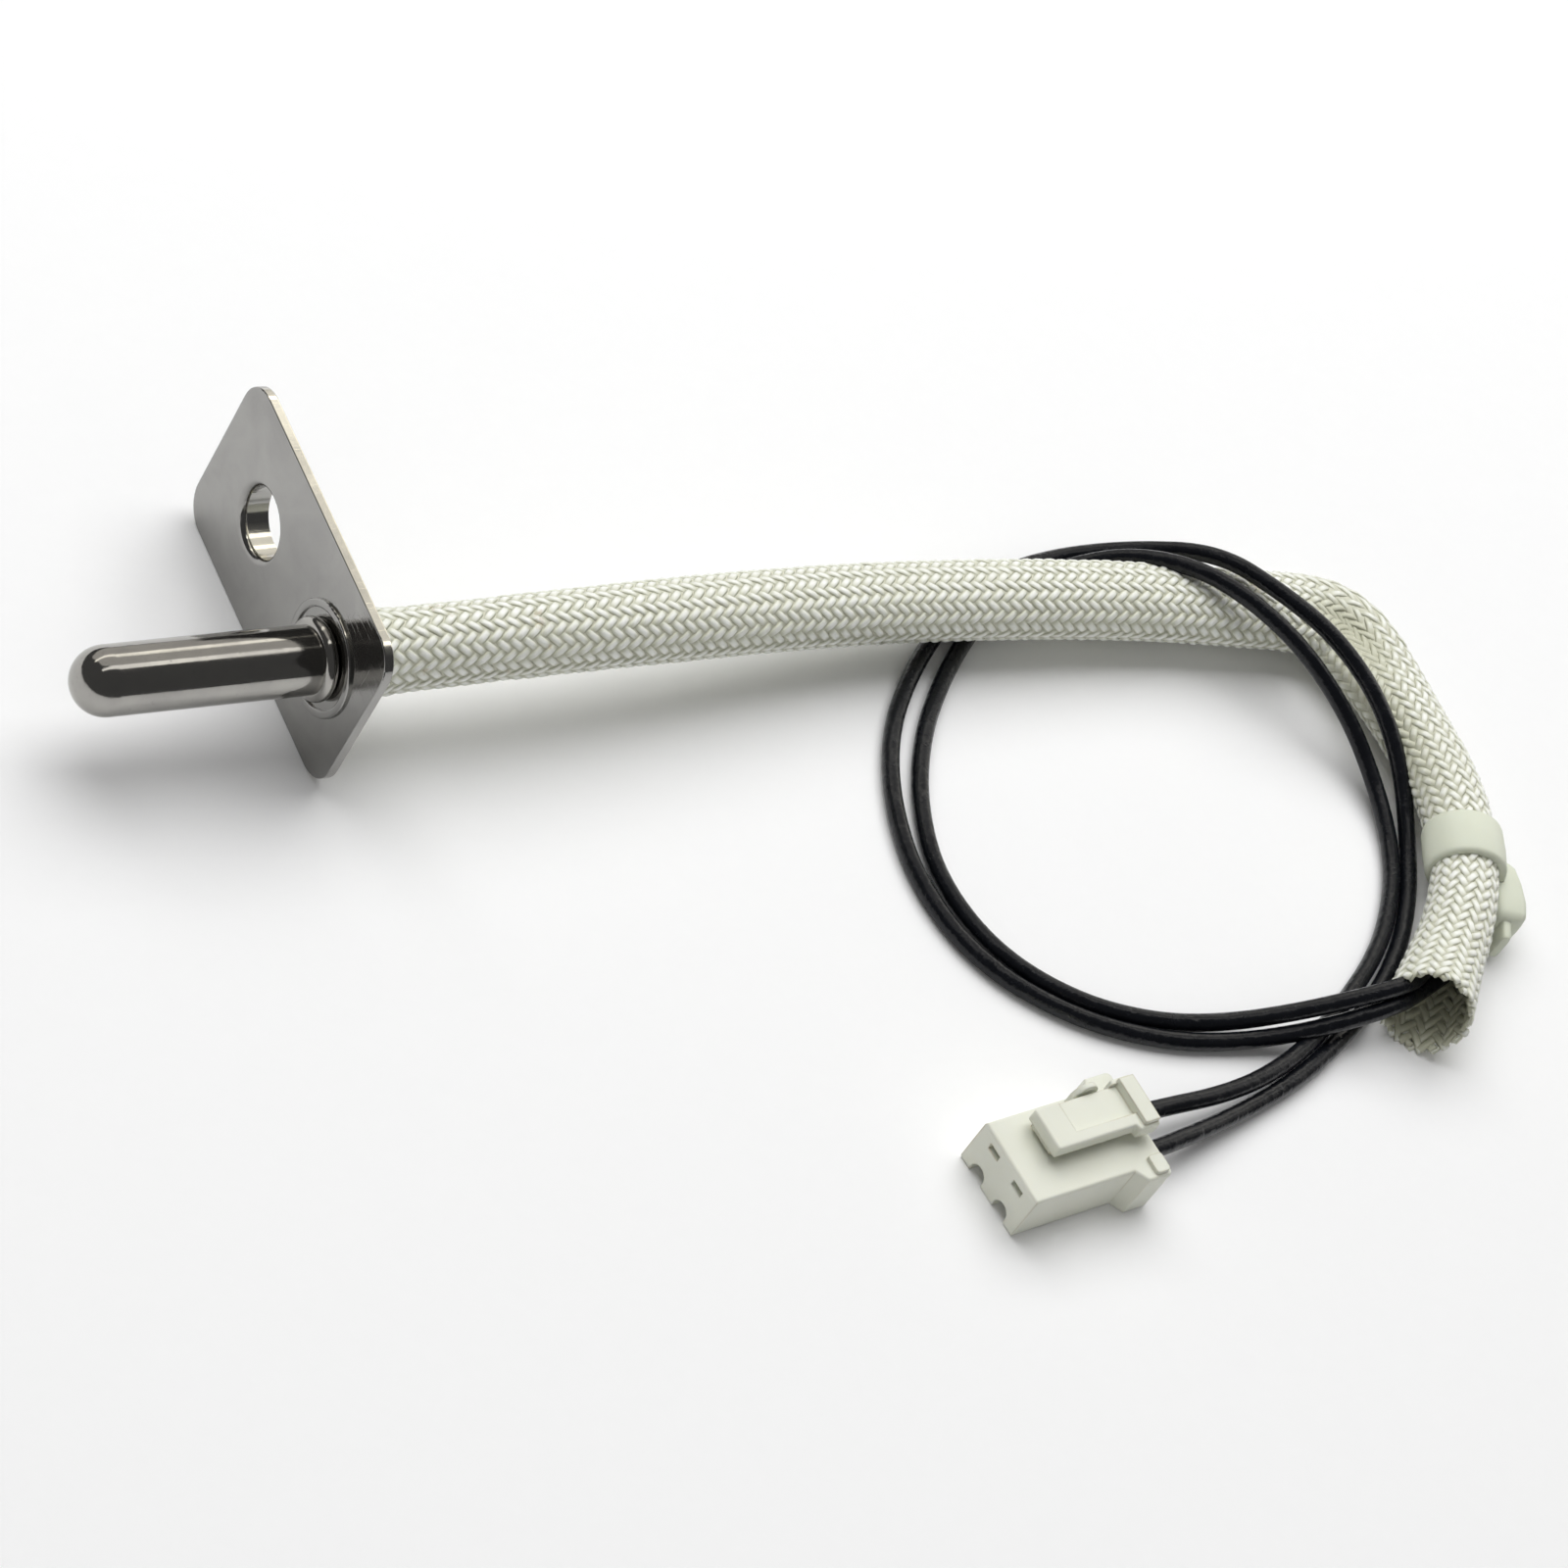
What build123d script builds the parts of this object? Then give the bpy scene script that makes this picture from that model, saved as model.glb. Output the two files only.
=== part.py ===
from build123d import *
import os
from math import cos, radians, sin, tan

# Temperature and flame sensor probe: a closed steel sheath in a small screw-on plate, with its two
# wires led out through a braided glass sleeve to a two-way plug. Millimetres.
# Origin: on the probe's axis, at the plate's front face. -X runs out of the tip, +X down the lead,
# +Y from the probe towards the screw hole, and +Z up from the surface that the plate's edge stands on.

# ---- probe sheath
probe_diameter = 4.0
probe_reach = 15.5          # from the plate's front face to the tip
stub_reach = 12.0           # from the plate's front face to the open rear end
sheath_wall = 0.25
bead_height = 0.45          # the rolled beads that grip the plate
bead_width = 0.9

# ---- mounting plate
plate_length = 20.6
plate_width = 12.0
plate_thickness = 0.6
plate_corner = 2.0
plate_low_end = -4.95       # Y of the end beside the probe
hole_spacing = 9.6          # probe axis to screw hole
hole_radius = 2.1
hole_lead_in = 0.4          # radius rolled at the hole's front edge
collar_wall = 0.4
collar_rise = 1.2           # how far the drawn collar stands behind the plate
seat_rise = 0.06            # low round seat that the front bead is pressed against
coin_inner = 2.9            # ring raised round the seat's edge
coin_outer = 3.4
coin_rise = 0.22
plate_edge_round = 0.08

floor_height = -plate_width / 2

# ---- what the sheath holds
bead_radius = 0.8
bead_front = -14.2
bead_back = -11.0
bead_lead_diameter = 0.3
bead_lead_offset = 0.34     # each lead's distance from the axis
lead_embedded = 1.0         # length of lead held in the glass
insulator_diameter = 0.66
insulator_bore = 0.34
insulator_gap = 0.3         # bare lead left at each end of its insulator
compound_back = -10.0
liner_wall = 0.2
liner_back = 9.5
seal_length = 2.2
splice_front = -2.9
splice_length = 2.5
crimp_diameter = 1.04
crimp_bore = 0.84
cover_diameter = 1.18
cover_bore = 1.06
cover_overlap = 0.3         # how far the shrink cover reaches past the crimp
crimp_entry = 0.2           # how far inside the crimp each wire's conductor ends
conductor_diameter = 0.45
conductor_offset = 0.72
wire_start = 0.5            # where the insulation begins, inside the sheath

# ---- lead
wire_diameter = 1.1
wire_offset = 0.6           # the two wires lie one above the other inside the sleeve
sleeve_diameter = 4.6
sleeve_bore = 4.05
sleeve_start = plate_thickness + bead_width

# ---- plug, in its own frame: u along its length, v across, w up
plug_corner = (30.0, -37.1)
plug_heading = 6.5
plug_length = 10.0
plug_width = 5.6
plug_height = 3.5
plug_pitch = 2.5
grip_length = 1.9           # the wider end that fingers pull on
grip_overhang = 0.8
cavity_width = 1.9
cavity_height = 1.9
cavity_lift = 0.1           # how far the cavity's middle stands above the contacts' axis
cavity_middle = 1.9         # height of the contacts' axis above the plug's underside
front_wall = 0.9
key_radius = 0.62
key_rise = 0.38             # height of the straight sides below each keyway's round top
key_length = 2.4
pin_slot = (0.95, 0.42)
slot_height = 2.69
pivot_along = 6.5
pivot_height = 4.3
lever_front = 2.3
lever_back = 9.9
lever_width = 2.8
lever_middle = 0.7          # the lever lies off the plug's centre
lever_low = 4.1
lever_high = 4.95
pad_width = 3.5
pad_length = 1.6
fulcrum_top = 3.95
fulcrum_width = 0.3
plug_edge_round = 0.18
grip_ramp = 0.55            # length over which the grip widens
grip_corner = 0.35
wing_size = (1.0, 1.2)      # raised corner of the grip, on the side away from the lever
wing_corner = 0.2
wing_inset = 0.25           # from the grip's rear to the raised corner
wing_rise = 0.25
ear_radius = 0.9            # rounded ear on the far side, beside the lever's fulcrum
ear_rise = 0.7
ear_thickness = 0.35
ear_offset = 0.2            # from the fulcrum back to the ear's middle
lever_side_margin = 0.75    # rim left along one side of the lever's sunken panel
panel_depth = 0.28
panel_front = 4.1
lip_width = 1.1             # raised end that a finger presses
lip_rise = 0.3
lip_inset = 0.1
lever_corner = 0.16
lever_edge_round = 0.14
catch_length = 0.7          # catch under the nose, which drops behind the header's latch bar
catch_drop = 0.35
catch_inset = 0.15
narrowing = 0.4             # what the lip and the fulcrum leave clear of the lever's width

# ---- plug contacts
contact_front = 1.1
contact_box = 1.6
contact_bore = 1.2
contact_length = 3.6
contact_spine = (1.0, 0.3)
contact_spine_drop = 0.65
contact_lap = 0.2           # how far the spine runs into the contact's box
contact_back = 9.0
core_barrel_start = 5.3
core_barrel_radius = 0.62
core_barrel_length = 1.5
grip_barrel_start = 7.9     # the barrel that grips the insulation
grip_barrel_radius = 0.75
grip_barrel_length = 1.1
insulation_end = 7.6        # u of the insulation's end inside the plug
conductor_end = 5.4
wire_straight = 11.8        # u of the last corner before the plug

# ---- cable tie
tie_centre = (73.95, -21.23, -2.8)
tie_heading = -116.9
tie_width = 2.8
strap_thickness = 0.7
tie_head = (2.3, 3.4, 4.2)  # away from the sleeve, up, and along the sleeve
tie_head_corner = 0.5
tie_head_drop = 1.2         # how far the head's middle lies below the sleeve's
tie_head_shift = 1.0        # how far the head's middle lies beyond the strap's

# The sleeve's centreline, from behind the plate, down to the floor, round its fold and to its mouth.
sleeve_route = [
    (sleeve_start, 0, 0),
    (13, 0, 0),
    (26, 0.4, -0.9),
    (38, 0.9, -2.1),
    (50, 0.6, -2.6),
    (60.5, -0.3, -3.0),
    (67.4, -1.0, -3.3),
    (72.6, -1.9, -3.5),
    (75.7, -4.9, -3.6),
    (76.2, -10.4, -3.6),
    (75.9, -15.9, -3.2),
    (74.1, -21.3, -2.75),
    (71.2, -25.4, -3.0),
    (68.0, -28.6, -3.3),
    (65.0, -31.3, -3.5),
]

# Each wire beyond the sleeve's last bend: out of the mouth, round one loose turn that passes under
# the sleeve and then over it, under its own start, and into the plug.
free_route_a = [
    (63.3, -31.3, -2.6),
    (58.3, -31.0, -3.2),
    (52.5, -30.6, -4.7),
    (46.6, -29.5, -5.4),
    (41.2, -26.9, -5.4),
    (36.9, -22.4, -5.4),
    (35.5, -16.7, -5.4),
    (36.5, -10.9, -5.4),
    (39.0, -5.7, -5.4),
    (43.0, -1.4, -5.4),
    (47.5, 2.1, -5.4),
    (52.5, 4.7, -5.4),
    (57.6, 5.4, -5.1),
    (62.1, 4.2, -3.4),
    (65.7, 1.5, -0.6),
    (68.3, -2.2, -0.15),
    (70.9, -6.0, -0.5),
    (72.7, -10.3, -1.7),
    (73.1, -14.4, -3.4),
    (72.3, -18.5, -5.2),
    (70.1, -22.6, -5.4),
    (66.7, -26.6, -5.4),
    (61.7, -30.2, -5.4),
    (55.8, -33.2, -5.4),
    (49.6, -35.1, -5.3),
]
free_route_b = [
    (63.4, -30.75, -3.7),
    (58.3, -29.8, -3.7),
    (52.5, -29.4, -4.8),
    (46.8, -28.2, -5.4),
    (42.0, -25.9, -5.4),
    (38.3, -21.9, -5.4),
    (37.0, -16.5, -5.4),
    (38.3, -11.2, -5.4),
    (41.1, -6.3, -5.4),
    (44.9, -2.2, -5.4),
    (49.0, 1.2, -5.4),
    (53.4, 3.7, -5.4),
    (57.3, 4.2, -4.4),
    (60.3, 2.9, -1.9),
    (62.9, 0.3, 0.0),
    (65.6, -2.6, -0.1),
    (68.4, -6.2, -1.0),
    (70.8, -10.3, -2.9),
    (71.7, -14.5, -4.7),
    (71.0, -18.6, -5.4),
    (68.8, -22.4, -5.4),
    (65.5, -26.0, -5.4),
    (60.8, -29.2, -5.4),
    (55.2, -32.3, -4.9),
    (49.3, -34.1, -4.5),
]

wire_sides = {"a": 1, "b": -1}
free_routes = {"a": free_route_a, "b": free_route_b}

heading = radians(plug_heading)
plug_along = (cos(heading), sin(heading), 0)
plug_across = (-sin(heading), cos(heading), 0)
plug_origin = (plug_corner[0], plug_corner[1], floor_height)
plug_section = Plane(origin=plug_origin, x_dir=plug_across, z_dir=plug_along)
plug_plan = Plane(origin=plug_origin, x_dir=plug_along, z_dir=(0, 0, 1))
plug_side = Plane(origin=plug_origin, x_dir=plug_along, z_dir=(sin(heading), -cos(heading), 0))
contact_columns = {"a": -plug_pitch / 2, "b": plug_pitch / 2}


def in_plug(u, v, w):
    """A point of the plug's own frame, in the part's frame."""
    across = plug_corner[0] + u * plug_along[0] + v * plug_across[0]
    back = plug_corner[1] + u * plug_along[1] + v * plug_across[1]
    return (across, back, floor_height + w)


def corner_radii(points):
    """The largest tangent arc that each corner of a route has room for."""
    radii = []
    for before, corner, after in zip(points, points[1:], points[2:]):
        run_in = Vector(*corner) - Vector(*before)
        run_out = Vector(*after) - Vector(*corner)
        half_turn = radians(run_in.get_angle(run_out)) / 2
        radii.append(0.45 * min(run_in.length, run_out.length) / tan(half_turn))
    return radii


def wire_route(side):
    """A wire's whole centreline, from its splice in the sheath to its contact in the plug."""
    lift = wire_sides[side] * wire_offset
    held = [(x, y, z + lift) for x, y, z in sleeve_route[1:-1]]
    contact = contact_columns[side]
    entry = [in_plug(wire_straight, contact, cavity_middle), in_plug(insulation_end, contact, cavity_middle)]
    return [(wire_start, 0, lift), *held, *free_routes[side], *entry]


def keep(builder, name):
    """Labels a finished piece and writes its STEP file."""
    builder.part.label = name
    export_step(builder.part, f"parts/{name}.step")


os.makedirs("parts", exist_ok=True)

# ------------------------------------------------------------------ sensor end
radius = probe_diameter / 2
inner = radius - sheath_wall
dome_centre = -probe_reach + radius
bead_start = -seat_rise - bead_width

with BuildPart() as probe_sheath:
    with BuildSketch(Plane.XY):
        with BuildLine():
            CenterArc((dome_centre, 0), radius, 90, 90)
            Line((dome_centre, radius), (bead_start, radius))
            ThreePointArc(
                (bead_start, radius),
                (bead_start + bead_width / 2, radius + bead_height),
                (-seat_rise, radius),
            )
            Line((-seat_rise, radius), (plate_thickness, radius))
            ThreePointArc(
                (plate_thickness, radius),
                (plate_thickness + bead_width / 2, radius + bead_height),
                (sleeve_start, radius),
            )
            Polyline(
                (sleeve_start, radius),
                (stub_reach, radius),
                (stub_reach, inner),
                (dome_centre, inner),
            )
            CenterArc((dome_centre, 0), inner, 90, 90)
            Line((dome_centre - inner, 0), (dome_centre - radius, 0))
        make_face()
    revolve(axis=Axis.X)
keep(probe_sheath, "probe_sheath")

with BuildPart() as mounting_plate:
    with BuildSketch(Plane.YZ):
        with Locations((plate_low_end + plate_length / 2, 0)):
            RectangleRounded(plate_length, plate_width, plate_corner)
    extrude(amount=plate_thickness)
    rim = edges().filter_by(Plane.YZ)
    fillet(rim, plate_edge_round)
    with BuildSketch(Plane.YZ.offset(plate_thickness)):
        with Locations((hole_spacing, 0)):
            Circle(hole_radius + collar_wall)
    extrude(amount=collar_rise)
    with BuildSketch(Plane.YZ):
        Circle(coin_outer)
    extrude(amount=-seat_rise)
    with BuildSketch(Plane.YZ.offset(-seat_rise)):
        Circle(coin_outer)
        Circle(coin_inner, mode=Mode.SUBTRACT)
    extrude(amount=seat_rise - coin_rise)
    coin_edges = faces().sort_by(Axis.X)[0].edges()
    fillet(coin_edges, (coin_rise - seat_rise) * 0.8)
    with BuildSketch(Plane.YZ.offset(-coin_rise)):
        Circle(radius)
        with Locations((hole_spacing, 0)):
            Circle(hole_radius)
    extrude(amount=coin_rise + plate_thickness + collar_rise, mode=Mode.SUBTRACT)
    mouth = edges().filter_by(GeomType.CIRCLE).filter_by(lambda e: abs(e.radius - hole_radius) < 0.01)
    fillet(mouth.sort_by(Axis.X)[0], hole_lead_in)
keep(mounting_plate, "mounting_plate")

lead_columns = [(0, bead_lead_offset), (0, -bead_lead_offset)]
wire_columns = [(0, wire_offset), (0, -wire_offset)]

with BuildPart() as thermistor_bead:
    with BuildSketch(Plane.YZ.offset(bead_front)):
        Circle(bead_radius)
    extrude(amount=bead_back - bead_front)
    fillet(edges(), bead_radius * 0.6)
    with BuildSketch(Plane.YZ.offset(bead_back - lead_embedded)):
        with Locations(*lead_columns):
            Circle(bead_lead_diameter / 2)
    extrude(amount=lead_embedded, mode=Mode.SUBTRACT)
keep(thermistor_bead, "thermistor_bead")

with BuildPart() as bead_leads:
    with BuildSketch(Plane.YZ.offset(bead_back - lead_embedded)):
        with Locations(*lead_columns):
            Circle(bead_lead_diameter / 2)
    extrude(amount=splice_front + splice_length - bead_back + lead_embedded)
keep(bead_leads, "bead_leads")

insulator_front = bead_back + insulator_gap
with BuildPart() as lead_insulators:
    with BuildSketch(Plane.YZ.offset(insulator_front)):
        with Locations(*lead_columns):
            Circle(insulator_diameter / 2)
            Circle(insulator_bore / 2, mode=Mode.SUBTRACT)
    extrude(amount=splice_front - insulator_gap - insulator_front)
keep(lead_insulators, "lead_insulators")

with BuildPart() as tip_compound:
    with BuildSketch(Plane.XY):
        with BuildLine():
            CenterArc((dome_centre, 0), inner, 90, 90)
            Polyline(
                (dome_centre, inner),
                (compound_back, inner),
                (compound_back, 0),
                (dome_centre - inner, 0),
            )
        make_face()
    revolve(axis=Axis.X)
    add(thermistor_bead.part, mode=Mode.SUBTRACT)
    add(bead_leads.part, mode=Mode.SUBTRACT)
    add(lead_insulators.part, mode=Mode.SUBTRACT)
    with BuildSketch(Plane.YZ.offset(insulator_front)):
        with Locations(*lead_columns):
            Circle(insulator_diameter / 2)
    extrude(amount=compound_back - insulator_front, mode=Mode.SUBTRACT)
keep(tip_compound, "tip_compound")

with BuildPart() as insulation_liner:
    with BuildSketch(Plane.YZ.offset(compound_back)):
        Circle(inner)
        Circle(inner - liner_wall, mode=Mode.SUBTRACT)
    extrude(amount=liner_back - compound_back)
keep(insulation_liner, "insulation_liner")

with BuildPart() as splice_crimps:
    with BuildSketch(Plane.YZ.offset(splice_front)):
        with Locations(*wire_columns):
            Circle(crimp_diameter / 2)
            Circle(crimp_bore / 2, mode=Mode.SUBTRACT)
    extrude(amount=splice_length)
keep(splice_crimps, "splice_crimps")

with BuildPart() as splice_covers:
    with BuildSketch(Plane.YZ.offset(splice_front - cover_overlap)):
        with Locations(*wire_columns):
            Circle(cover_diameter / 2)
            Circle(cover_bore / 2, mode=Mode.SUBTRACT)
    extrude(amount=wire_start - splice_front + cover_overlap)
keep(splice_covers, "splice_covers")

with BuildPart() as splice_conductors:
    with BuildSketch(Plane.YZ.offset(splice_front + crimp_entry)):
        with Locations((0, conductor_offset), (0, -conductor_offset)):
            Circle(conductor_diameter / 2)
    extrude(amount=wire_start - splice_front - crimp_entry)
keep(splice_conductors, "splice_conductors")

# ------------------------------------------------------------------ lead
with BuildPart() as braided_sleeve:
    with BuildLine():
        FilletPolyline(*sleeve_route, radius=corner_radii(sleeve_route))
    with BuildSketch(Plane(origin=sleeve_route[0], z_dir=(1, 0, 0))):
        Circle(sleeve_diameter / 2)
        Circle(sleeve_bore / 2, mode=Mode.SUBTRACT)
    sweep()
keep(braided_sleeve, "braided_sleeve")

wires_laid = []
for side in wire_sides:
    route = wire_route(side)
    radii = corner_radii(route)
    with BuildPart() as wire:
        with BuildLine() as centreline:
            FilletPolyline(*route, radius=radii)
        with BuildSketch(Plane(origin=route[0], z_dir=(1, 0, 0))):
            Circle(wire_diameter / 2)
        sweep()
    wires_laid.append(wire.part)
    keep(wire, f"wire_{side}")
    length = centreline.wires()[0].length
    print(f"wire_{side}: {length:.1f} mm, radii", [round(r, 1) for r in radii])

with BuildPart() as rear_seal:
    with BuildSketch(Plane.YZ.offset(liner_back)):
        Circle(inner)
    extrude(amount=seal_length)
    add(wires_laid, mode=Mode.SUBTRACT)
keep(rear_seal, "rear_seal")

sleeve_turn = radians(tie_heading)
tie_along = (cos(sleeve_turn), sin(sleeve_turn), 0)
tie_across = (-sin(sleeve_turn), cos(sleeve_turn), 0)
tie_plane = Plane(origin=tie_centre, x_dir=tie_across, z_dir=tie_along)
strap_radius = sleeve_diameter / 2 + strap_thickness

with BuildPart() as cable_tie:
    with BuildSketch(tie_plane.offset(-tie_width / 2)):
        Circle(strap_radius)
    extrude(amount=tie_width)
    with BuildSketch(tie_plane.offset(tie_head_shift - tie_head[2] / 2)):
        with Locations((sleeve_diameter / 2 + tie_head[0] / 2, -tie_head_drop)):
            RectangleRounded(tie_head[0], tie_head[1], tie_head_corner)
    extrude(amount=tie_head[2])
    with BuildSketch(tie_plane.offset(-tie_head[2])):
        Circle(sleeve_diameter / 2)
    extrude(amount=2 * tie_head[2], mode=Mode.SUBTRACT)
keep(cable_tie, "cable_tie")

# ------------------------------------------------------------------ plug
contact_spots = [(column, cavity_middle) for column in contact_columns.values()]
cavity_spots = [(column, cavity_middle + cavity_lift) for column in contact_columns.values()]
slot_spots = [(column, slot_height) for column in contact_columns.values()]
grip_start = plug_length - grip_length

with BuildPart() as plug_housing:
    with BuildSketch(plug_plan):
        with Locations((plug_length / 2, 0)):
            Rectangle(plug_length, plug_width)
        for hand in (1, -1):
            edge = hand * plug_width / 2
            bulge = hand * (plug_width / 2 + grip_overhang)
            with BuildLine():
                Polyline(
                    (grip_start - grip_ramp, edge),
                    (grip_start, bulge),
                    (plug_length, bulge),
                    (plug_length, 0),
                    (grip_start - grip_ramp, 0),
                    close=True,
                )
            make_face()
    extrude(amount=plug_height)
    grip_edges = edges().filter_by(Axis.Z).group_by(Axis((0, 0, 0), plug_along))[-1]
    fillet(grip_edges, grip_corner)
    top_edges = faces().sort_by(Axis.Z)[-1].edges()
    bottom_edges = faces().sort_by(Axis.Z)[0].edges()
    fillet(top_edges + bottom_edges, plug_edge_round)
    # raised corner of the grip, the lever's fulcrum and the ear beside it
    with BuildSketch(plug_plan.offset(plug_height - plug_edge_round)):
        with Locations((plug_length - wing_inset - wing_size[0] / 2, -plug_width / 2)):
            RectangleRounded(*wing_size, wing_corner)
    extrude(amount=plug_edge_round + wing_rise)
    with BuildSketch(plug_plan.offset(plug_height)):
        with Locations((pivot_along, lever_middle)):
            Rectangle(fulcrum_width, lever_width - narrowing)
    extrude(amount=fulcrum_top - plug_height)
    ear_along = pivot_along + ear_offset
    with BuildSketch(plug_side.offset(-plug_width / 2 + plug_edge_round)):
        with Locations((ear_along, plug_height + ear_rise)):
            Circle(ear_radius)
        with Locations((ear_along, plug_height + ear_rise / 2 - plug_edge_round)):
            Rectangle(2 * ear_radius, ear_rise + 2 * plug_edge_round)
    extrude(amount=ear_thickness)
    # contact cavities, the slots that the header's pins enter, and the two keyways
    with BuildSketch(plug_section.offset(front_wall)):
        with Locations(*cavity_spots):
            Rectangle(cavity_width, cavity_height)
    extrude(amount=plug_length, mode=Mode.SUBTRACT)
    with BuildSketch(plug_section):
        with Locations(*slot_spots):
            Rectangle(*pin_slot)
    extrude(amount=front_wall, mode=Mode.SUBTRACT)
    with BuildSketch(plug_section):
        with Locations(*[(column, key_rise) for column in contact_columns.values()]):
            Circle(key_radius)
        with Locations(*[(column, key_rise / 2) for column in contact_columns.values()]):
            Rectangle(2 * key_radius, key_rise)
    extrude(amount=key_length, mode=Mode.SUBTRACT)
keep(plug_housing, "plug_housing")

lever_centre = (lever_front + lever_back) / 2
with BuildPart() as plug_latch:
    with BuildSketch(plug_plan.offset(lever_low)):
        with Locations((lever_centre, lever_middle)):
            Rectangle(lever_back - lever_front, lever_width)
        with Locations((lever_back - pad_length / 2, lever_middle)):
            Rectangle(pad_length, pad_width)
    extrude(amount=lever_high - lever_low)
    fillet(edges().filter_by(Axis.Z), lever_corner)
    fillet(faces().sort_by(Axis.Z)[-1].edges(), lever_edge_round)
    panel_back = lever_back - lip_width - lip_inset
    with BuildSketch(plug_plan.offset(lever_high)):
        with Locations(((panel_front + panel_back) / 2, lever_middle + lever_side_margin / 2)):
            Rectangle(panel_back - panel_front, lever_width - lever_side_margin)
    extrude(amount=-panel_depth, mode=Mode.SUBTRACT)
    with BuildSketch(plug_plan.offset(lever_high - lip_rise)):
        with Locations((lever_back - lip_width / 2 - lip_inset, lever_middle)):
            Rectangle(lip_width, pad_width - narrowing)
    extrude(amount=2 * lip_rise)
    with BuildSketch(plug_plan.offset(lever_low)):
        with Locations((lever_front + catch_inset + catch_length / 2, lever_middle)):
            Rectangle(catch_length, lever_width - 2 * narrowing)
    extrude(amount=-catch_drop)
keep(plug_latch, "plug_latch")

for side, column in contact_columns.items():
    middle = (column, cavity_middle)
    with BuildPart() as terminal:
        with BuildSketch(plug_section.offset(contact_front)):
            with Locations(middle):
                Rectangle(contact_box, contact_box)
                Rectangle(contact_bore, contact_bore, mode=Mode.SUBTRACT)
        extrude(amount=contact_length)
        with BuildSketch(plug_section.offset(contact_front + contact_length - contact_lap)):
            with Locations((column, cavity_middle - contact_spine_drop)):
                Rectangle(*contact_spine)
        extrude(amount=contact_back - contact_front - contact_length + contact_lap)
        with BuildSketch(plug_section.offset(core_barrel_start)):
            with Locations(middle):
                Circle(core_barrel_radius)
                Circle(conductor_diameter / 2, mode=Mode.SUBTRACT)
        extrude(amount=core_barrel_length)
        with BuildSketch(plug_section.offset(grip_barrel_start)):
            with Locations(middle):
                Circle(grip_barrel_radius)
        extrude(amount=grip_barrel_length)
        with BuildSketch(plug_section.offset(core_barrel_start + core_barrel_length)):
            with Locations(middle):
                Circle(wire_diameter / 2)
        extrude(amount=contact_back - conductor_end, mode=Mode.SUBTRACT)
    keep(terminal, f"terminal_{side}")

with BuildPart() as plug_conductors:
    with BuildSketch(plug_section.offset(conductor_end)):
        with Locations(*contact_spots):
            Circle(conductor_diameter / 2)
    extrude(amount=insulation_end - conductor_end)
keep(plug_conductors, "plug_conductors")

print("sleeve radii", [round(r, 1) for r in corner_radii(sleeve_route)])
print("lever pivot", [round(c, 4) for c in in_plug(pivot_along, lever_middle, pivot_height)])
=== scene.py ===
import math

import bpy
import numpy as np
from mathutils import Matrix, Vector


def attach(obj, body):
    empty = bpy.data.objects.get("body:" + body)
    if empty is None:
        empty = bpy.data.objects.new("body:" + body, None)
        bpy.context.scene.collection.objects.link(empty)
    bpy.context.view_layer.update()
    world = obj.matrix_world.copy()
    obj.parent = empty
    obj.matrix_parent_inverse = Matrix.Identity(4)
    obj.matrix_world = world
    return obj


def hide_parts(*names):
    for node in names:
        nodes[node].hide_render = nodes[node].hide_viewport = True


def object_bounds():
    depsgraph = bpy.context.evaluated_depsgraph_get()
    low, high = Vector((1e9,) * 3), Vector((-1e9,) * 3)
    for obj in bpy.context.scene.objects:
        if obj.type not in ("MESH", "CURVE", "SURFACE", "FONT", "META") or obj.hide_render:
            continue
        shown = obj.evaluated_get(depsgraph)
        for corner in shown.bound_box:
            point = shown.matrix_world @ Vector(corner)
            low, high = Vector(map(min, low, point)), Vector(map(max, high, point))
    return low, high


# Looks of a temperature and flame sensor probe: polished steel probe and plate, a braided glass
# sleeve with a nylon tie round its fold's far leg, two black wires and a two-way ivory plug.
# Metres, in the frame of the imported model: probe along -X, lead towards +X, hole towards +Y.

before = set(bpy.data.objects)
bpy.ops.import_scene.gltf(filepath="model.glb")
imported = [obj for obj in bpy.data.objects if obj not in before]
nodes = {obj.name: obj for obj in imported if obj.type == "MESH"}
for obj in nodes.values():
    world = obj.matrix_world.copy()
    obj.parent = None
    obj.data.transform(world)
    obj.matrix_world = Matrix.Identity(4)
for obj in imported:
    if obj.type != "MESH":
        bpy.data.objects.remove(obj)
cad_low, cad_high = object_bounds()

MM = 0.001
FULL_TURN = 2 * math.pi
WIRE_DIAMETER = 1.1 * MM
WIRE_OFFSET = 0.6 * MM       # how far each wire lies above or below the sleeve's line at the start
WIRE_START = 0.5 * MM        # where the insulation begins, behind the plate's front face
floor_height = cad_low.z


# ------------------------------------------------------------------ camera, light and floor
def aim(thing, place, target, roll=0.0):
    """Stands a camera or lamp at a place, looking at a target, rolled about its line of sight."""
    back = (Vector(place) - Vector(target)).normalized()
    turn = (-back).to_track_quat("-Z", "Y").to_matrix() @ Matrix.Rotation(roll, 3, "Z")
    thing.matrix_world = Matrix.Translation(place) @ turn.to_4x4()


def link(name, data):
    """A new object in the scene."""
    made = bpy.data.objects.new(name, data)
    bpy.context.scene.collection.objects.link(made)
    return made


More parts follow.
